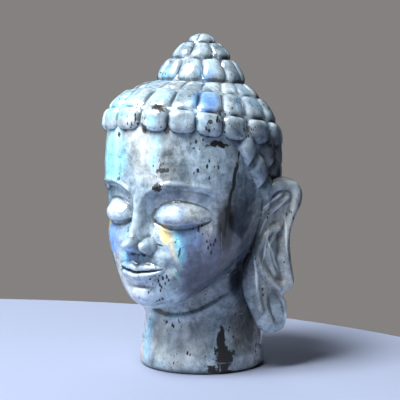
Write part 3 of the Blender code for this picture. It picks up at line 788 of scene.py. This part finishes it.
def labradorite(look):
    """Cloudy grey-blue feldspar, polished. Mottled body in crystals with straight edges, fine
    upright streaks and pale hair cracks, a flash that runs from blue through cyan to gold where
    crystals face it, darker olive and violet zones, and black needles and seams. Also painted
    shade on the right of the face, over and behind the jaw, on the right of the neck, in grooves
    and in recesses, and painted highlights on ridges and on the lids."""
    material = bpy.data.materials.new("labradorite")
    material.use_nodes = True
    wire = Wiring(material)
    shader = material.node_tree.nodes["Principled BSDF"]
    coordinates = wire.add("ShaderNodeTexCoord")
    where, normal = coordinates.outputs["Object"], coordinates.outputs["Normal"]

    fine = wire.noise(where, 420, 5, 0.68, 0.3)
    cloud = wire.noise(where, 120, 5, 0.62, 0.6)
    broad = wire.noise(where, 38, 2, 0.5, 0.3)
    ragged = wire.math("SUBTRACT", wire.noise(where, 330, 4, 0.7), 0.5)
    mottle = wire.math("ADD", wire.times(cloud, 0.38), wire.times(fine, 0.5))
    mottle = wire.math("ADD", mottle, 0.06)
    body = wire.ramp(mottle, (
        (0.36, look.deep),
        (0.43, (0.25, 0.28, 0.285)),
        (0.50, (0.40, 0.435, 0.435)),
        (0.57, (0.57, 0.60, 0.595)),
        (0.65, (0.76, 0.78, 0.765)),
    ))
    streak = wire.noise(wire.stretched(where, (1, 1, 0.1), (0.1, 0.16, 0)), 340, 3, 0.6, 0.2)
    streak = wire.fade(streak, 0.36, 0.64, 0.87, 1.12)
    crystal = wire.cells(where, 85, (1, 1, 0.42), (0.25, 0.12, 0.6))
    own = wire.add("ShaderNodeSeparateColor", Color=crystal["Color"])
    shade = wire.fade(own.outputs[0], 0.0, 1.0, 0.8, 1.16)
    tinted = wire.mix(1.0, body, (*look.tint, 1), "MULTIPLY")
    body = wire.mix(wire.fade(broad, 0.38, 0.56, 0.15, 1.0), body, tinted)
    body = wire.lit(body, wire.times(shade, streak))

    toward = wire.vector_math("DOT_PRODUCT", normal, Vector(FLASH_FRONT).normalized())
    behind = wire.vector_math("DOT_PRODUCT", normal, Vector(FLASH_BEHIND).normalized())
    facing = wire.math("MAXIMUM", toward, wire.math("SUBTRACT", behind, 0.05))
    tilt = wire.times(wire.math("SUBTRACT", own.outputs[1], 0.5), 0.55)
    facing = wire.math("ADD", facing, tilt)
    play = wire.ramp(wire.fade(facing, 0.2, 1.2), (
        (0.0, (0.12, 0.20, 0.42)),
        (0.4, (0.16, 0.36, 0.75)),
        (0.62, (0.26, 0.66, 0.92)),
        (0.8, (0.60, 0.92, 0.92)),
        (0.93, (0.92, 0.84, 0.45)),
        (1.0, (0.90, 0.55, 0.30)),
    ))
    veil = wire.noise(wire.stretched(where, (1, 1, 0.5)), 62, 3, 0.6, 0.8)
    strength = wire.times(wire.fade(facing, 0.35, 0.85), wire.fade(veil, 0.42, 0.58))
    colour = wire.mix(wire.times(strength, look.flash), body, play)
    grain = wire.times(wire.fade(mottle, 0.38, 0.64, 0.66, 1.1), streak)

    shift = wire.times(wire.noise(where, 260, 3), 0.9 * MM)
    aside = wire.times(wire.noise(where, 290, 3), 0.9 * MM)
    tearing = wire.add("ShaderNodeCombineXYZ", X=shift, Y=shift, Z=aside).outputs[0]
    torn = wire.vector_math("ADD", where, tearing)
    # Patches of flash, and the painted highlights on the lids
    for at, radii, bearing, tilt, edge, force, stops in FLASHES_AND_LID_HIGHLIGHTS:
        mask = wire.fade(wire.blob(torn, at, radii, bearing, tilt), 0.0, edge, 0.0, force)
        hue = wire.ramp(wire.across(torn, at, radii, bearing, tilt), stops)
        colour = wire.mix(mask, colour, wire.lit(hue, grain))
    # Zones of other tone, and the painted shade of the dark zones over the right of the face, the
    # jaw and the neck
    for at, radii, bearing, tilt, edge, force, tone in ZONES:
        mask = wire.fade(wire.blob(torn, at, radii, bearing, tilt), 0.0, edge, 0.0, force)
        colour = wire.mix(mask, colour, wire.lit((*tone, 1), grain))
    # Painted shade: the colour is darkened where ambient occlusion finds the surface hemmed in, as
    # under the jaw, behind the ears and between the knobs, and lifted a little where it is open
    occlusion_shade = wire.add("ShaderNodeAmbientOcclusion", {"samples": 6}, Distance=9 * MM).outputs["AO"]
    colour = wire.lit(colour, wire.fade(occlusion_shade, 0.2, 0.85, 0.35, 1.1))
    # Painted shade in grooves and creases, where the pointiness is low, and a painted highlight
    # along ridges and edges, where it is high
    pointiness_shade_and_highlight = wire.add("ShaderNodeNewGeometry").outputs["Pointiness"]
    colour = wire.mix(wire.fade(pointiness_shade_and_highlight, 0.495, 0.465, 0.0, 0.7), colour, GROOVE_SHADE_TONE)
    colour = wire.mix(wire.fade(pointiness_shade_and_highlight, 0.51, 0.55, 0.0, 0.35), colour, RIDGE_HIGHLIGHT_TONE)

    for at, half, tilt in PALE_LINES:
        line = wire.blob(torn, at, (LINE_HALF_WIDTH, LINE_DEPTH, half), LINE_BEARING, tilt)
        colour = wire.mix(wire.fade(line, 0.0, 0.5, 0.0, 0.85), colour, PALE_TONE)

    needles = wire.cells(torn, 1100, (1, 0.8, 0.42), (0.1, 0.3, 0.2))["Distance"]
    gather = wire.fade(wire.noise(where, 110, 3, 0.6), 0.45, 0.72, 0.0, 0.42)
    spot = wire.math("SUBTRACT", gather, needles)
    dust = wire.cells(torn, 1900, (1, 0.8, 0.6))["Distance"]
    thick = wire.fade(wire.noise(where, 190, 2, 0.6), 0.46, 0.72, 0.0, 0.36)
    speck = wire.math("SUBTRACT", thick, dust)
    dark = wire.math("MAXIMUM", wire.fade(spot, 0.0, 0.06), wire.fade(speck, 0.0, 0.08, 0.0, 0.85))
    for at, radii, bearing, tilt, wild, force in SHADOWS:
        near = wire.blob(torn, at, radii, bearing, tilt, SHADOW_REACH)
        near = wire.math("ADD", near, wire.times(ragged, wild * SHADOW_WANDER))
        dark = wire.math("MAXIMUM", dark, wire.fade(near, *SHADOW_EDGE, 0.0, force))
    colour = wire.mix(dark, colour, DARK_MINERAL)

    crack = wire.cells(torn, 150, (1, 1, 0.5), (0.5, 0.2, 0.1), "DISTANCE_TO_EDGE")["Distance"]
    line = wire.times(wire.fade(crack, 0.022, 0.0), wire.fade(cloud, 0.46, 0.6, 0.0, 0.3))
    colour = wire.mix(line, colour, CRACK_TONE)

    wire.put(shader.inputs["Base Color"], colour)
    gloss = wire.fade(cloud, 0.3, 0.7, 0.07, 0.17)
    wire.put(shader.inputs["Roughness"], wire.math("ADD", gloss, wire.times(dark, 0.45)))
    wire.put(shader.inputs["Coat Weight"], wire.fade(dark, 0.0, 1.0, 0.4, 0.0))
    shader.inputs["IOR"].default_value = 1.56
    shader.inputs["Subsurface Weight"].default_value = 0.28
    shader.inputs["Subsurface Radius"].default_value = (1.0, 1.1, 1.25)
    shader.inputs["Subsurface Scale"].default_value = 2.0 * MM
    shader.inputs["Coat Roughness"].default_value = 0.03
    bump = wire.add("ShaderNodeBump", Height=wire.noise(where, 240, 3, 0.6), Strength=0.12,
                    Distance=0.0003)
    wire.put(shader.inputs["Normal"], bump.outputs[0])
    return material


def plain(name, colour, roughness):
    """One even colour."""
    material = bpy.data.materials.new(name)
    material.use_nodes = True
    shader = material.node_tree.nodes["Principled BSDF"]
    shader.inputs["Base Color"].default_value = (*colour, 1)
    shader.inputs["Roughness"].default_value = roughness
    return material


def length(name, description, millimetres):
    """A length that the panel shows with its unit."""
    return bpy.props.FloatProperty(name=name, description=description, unit="LENGTH",
                                   default=millimetres * MM, min=0.0, precision=4)


def swatch(name, description, default):
    """A colour that the panel shows as a swatch."""
    return bpy.props.FloatVectorProperty(name=name, description=description, subtype="COLOR",
                                         default=default, min=0.0, max=1.0)


def in_degrees(name, description, degrees):
    """An angle that the panel shows in degrees."""
    return bpy.props.FloatProperty(name=name, description=description, subtype="ANGLE",
                                   default=math.radians(degrees))


class HeadSizes(bpy.types.PropertyGroup):
    """Sizes of the carving"""
    neck_height: length("Neck height", "Ground to chin", 20.8)
    face_height: length("Face height", "Chin to hairline", 51.5)
    hair_height: length("Hair height", "Hairline to the foot of the topknot", 13.8)
    topknot_height: length("Topknot height", "Foot of the topknot to its top", 13.9)
    head_width: length("Head width", "Across the temples", 48.0)
    head_depth: length("Head depth", "Forehead to back", 52.4)
    head_forward: length("Head forward", "How far the skull's middle is ahead of the neck's", 5.6)
    jaw_rise: length("Jaw rise", "How much higher the skull ends at the nape", 15.0)
    neck_foot_radius: length("Foot radius", "Neck's radius at the ground", 19.0)
    neck_top_radius: length("Neck radius", "Neck's radius under the chin", 17.0)
    neck_edge: length("Foot edge", "Rounding at the ground", 1.6)
    fold_height: length("Fold height", "Height of the fold at the front", 17.0)
    fold_depth: length("Fold depth", "Step at the fold", 0.8)
    fold_climb: length("Fold climb", "How much higher the fold is at the side", 13.4)
    topknot_radius: length("Topknot radius", "Radius at its foot", 13.0)
    hair_drop: length("Hair drop", "How much lower the hairline is at the back", 9.0)
    scale_height: length("Scale height", "From one row of scales to the next", 6.0)
    scale_relief: length("Scale relief", "How far a scale stands out", 1.4)
    ear_out: length("Ear out", "Root of the ear from the middle", 21.1)
    ear_back: length("Ear back", "Root of the ear behind the skull's middle", 3.6)
    ear_top: length("Ear top", "Height of the ear's top", 57.9)
    ear_length: length("Ear length", "Top to lobe", 46.3)
    ear_width: length("Ear width", "Widest part", 14.0)
    ear_thickness: length("Ear thickness", "Between its two faces", 4.4)
    ear_root: length("Ear root", "How far the root reaches in behind", 4.5)
    rim_relief: length("Rim relief", "Height of the rolled rim", 1.1)
    bowl_depth: length("Bowl depth", "Hollow inside the rim", 1.4)
    dish_depth: length("Dish depth", "Hollow in the lobe", 1.3)
    lobe_back: length("Right lobe back", "How much further back the right lobe hangs", 2.2)


class StoneLook(bpy.types.PropertyGroup):
    """Colours of the stone"""
    deep: swatch("Deep", "Darkest grey of the clouds", (0.125, 0.15, 0.165))
    tint: swatch("Tint", "Blue-grey cast of the deeper stone", (0.72, 0.86, 1.0))
    flash: bpy.props.FloatProperty(
        name="Flash", description="Strength of the coloured flash", subtype="FACTOR",
        default=0.3, min=0.0, max=1.0)


class StageLook(bpy.types.PropertyGroup):
    """Stage and camera"""
    floor: swatch("Floor", "Colour of the floor", (0.285, 0.33, 0.46))
    wall: swatch("Backdrop", "Colour behind the floor", (0.232, 0.222, 0.216))
    azimuth: in_degrees("Camera angle", "Round from the face towards its left ear", 35)
    distance: length("Camera distance", "From the middle of the neck, level", 430)
    height: length("Camera height", "Above the floor", 100)
    pitch: in_degrees("Camera pitch", "How far the camera looks down", 6.67)


class STONE_OT_carve(bpy.types.Operator):
    """Carve the head and give it its stone"""
    bl_idname = "buddha.carve_head"
    bl_label = "Carve head"
    bl_options = {"REGISTER", "UNDO"}

    def execute(self, context):
        s = context.scene.buddha_sizes
        head = unite(skull_and_face(s), [neck(s), hair(s), ear(s, 1), ear(s, -1)])
        if len(head.data.polygons) < LEAST_FACES:
            raise RuntimeError("the union of the carving's surfaces failed")
        head.name = "carved_head"
        head.data.name = "carved_head"
        head.data.materials.clear()
        head.data.materials.append(labradorite(context.scene.buddha_stone))
        head.data.shade_smooth()
        head.data.set_sharp_from_angle(angle=math.radians(52))
        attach(head, "root")
        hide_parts(NODE)
        head.data.calc_loop_triangles()
        print("triangles", len(head.data.loop_triangles))
        return {"FINISHED"}


class STAGE_OT_set(bpy.types.Operator):
    """Set the floor, the backdrop, the lights and the camera"""
    bl_idname = "buddha.set_stage"
    bl_label = "Set stage"
    bl_options = {"REGISTER", "UNDO"}

    def execute(self, context):
        look = context.scene.buddha_stage
        self.lay_floor(context, look)
        self.light(context, look)
        self.place_camera(context, look)
        return {"FINISHED"}

    def lay_floor(self, context, look):
        """An oval: half widths times the cosine and the sine of a turn."""
        turn = np.linspace(0, 2 * np.pi, 181)[:-1]
        rim = np.stack([FLOOR_MIDDLE[0] + FLOOR_HALF[0] * np.cos(turn),
                        FLOOR_MIDDLE[1] + FLOOR_HALF[1] * np.sin(turn), 0 * turn], 1)
        mesh = bpy.data.meshes.new("floor")
        mesh.from_pydata(rim, [], [list(range(len(rim)))])
        floor = bpy.data.objects.new("floor", mesh)
        floor.data.materials.append(plain("pale_floor", look.floor, 0.9))
        context.scene.collection.objects.link(floor)

    def light(self, context, look):
        """A grey room that lights the head only dimly, a high window in front, a broad soft
        light from the left, a weak one from behind, and a sheen that only reflections show."""
        world = bpy.data.worlds.new("studio")
        context.scene.world = world
        world.use_nodes = True
        tree = world.node_tree
        tree.nodes["Background"].inputs["Color"].default_value = (*look.wall, 1)
        seen = tree.nodes.new("ShaderNodeLightPath")
        level = tree.nodes.new("ShaderNodeMapRange")
        level.inputs["To Min"].default_value = 0.08
        tree.links.new(seen.outputs["Is Camera Ray"], level.inputs["Value"])
        tree.links.new(level.outputs[0], tree.nodes["Background"].inputs["Strength"])
        for name, azimuth, elevation, away, size, power, colour in LAMPS:
            lamp = bpy.data.lights.new(name, "AREA")
            lamp.shape = "RECTANGLE"
            lamp.size, lamp.size_y = size
            lamp.energy = power
            lamp.color = colour
            holder = bpy.data.objects.new(name, lamp)
            turn, lift = math.radians(azimuth), math.radians(elevation)
            level_way = (math.sin(turn) * math.cos(lift), -math.cos(turn) * math.cos(lift))
            way = Vector((*level_way, math.sin(lift)))
            holder.location = Vector(LAMP_TARGET) + way * away
            holder.rotation_mode = "QUATERNION"
            holder.rotation_quaternion = (-way).to_track_quat("-Z", "Y")
            holder.visible_glossy = name in ("window", "sheen")
            holder.visible_diffuse = name != "sheen"
            context.scene.collection.objects.link(holder)

    def place_camera(self, context, look):
        """A long lens that looks at the head from in front of its left ear, a little down."""
        lens = bpy.data.cameras.new("camera")
        lens.sensor_width = 36
        lens.lens = 128.5
        lens.shift_x = -0.005
        lens.clip_start = 0.01
        lens.clip_end = 20
        camera = bpy.data.objects.new("camera", lens)
        camera.location = (look.distance * math.sin(look.azimuth),
                           -look.distance * math.cos(look.azimuth), look.height)
        camera.rotation_euler = (math.pi / 2 - look.pitch, 0, look.azimuth)
        context.scene.collection.objects.link(camera)
        context.scene.camera = camera
        context.scene.view_settings.view_transform = "Standard"


class VIEW3D_PT_buddha(bpy.types.Panel):
    """Sizes, stone and stage of the carving"""
    bl_label = "Buddha head"
    bl_space_type = "VIEW_3D"
    bl_region_type = "UI"
    bl_category = "Buddha head"

    def draw(self, context):
        layout = self.layout
        layout.operator(STONE_OT_carve.bl_idname)
        layout.operator(STAGE_OT_set.bl_idname)
        scene = context.scene
        for group in (scene.buddha_sizes, scene.buddha_stone, scene.buddha_stage):
            box = layout.box()
            for name in group.__annotations__:
                box.prop(group, name)


CLASSES = (HeadSizes, StoneLook, StageLook, STONE_OT_carve, STAGE_OT_set, VIEW3D_PT_buddha)


def register():
    for cls in CLASSES:
        bpy.utils.register_class(cls)
    bpy.types.Scene.buddha_sizes = bpy.props.PointerProperty(type=HeadSizes)
    bpy.types.Scene.buddha_stone = bpy.props.PointerProperty(type=StoneLook)
    bpy.types.Scene.buddha_stage = bpy.props.PointerProperty(type=StageLook)


def unregister():
    del bpy.types.Scene.buddha_sizes
    del bpy.types.Scene.buddha_stone
    del bpy.types.Scene.buddha_stage
    for cls in reversed(CLASSES):
        bpy.utils.unregister_class(cls)


def main():
    register()
    bpy.ops.buddha.set_stage()
    bpy.ops.buddha.carve_head()


if __name__ == "__main__":
    main()
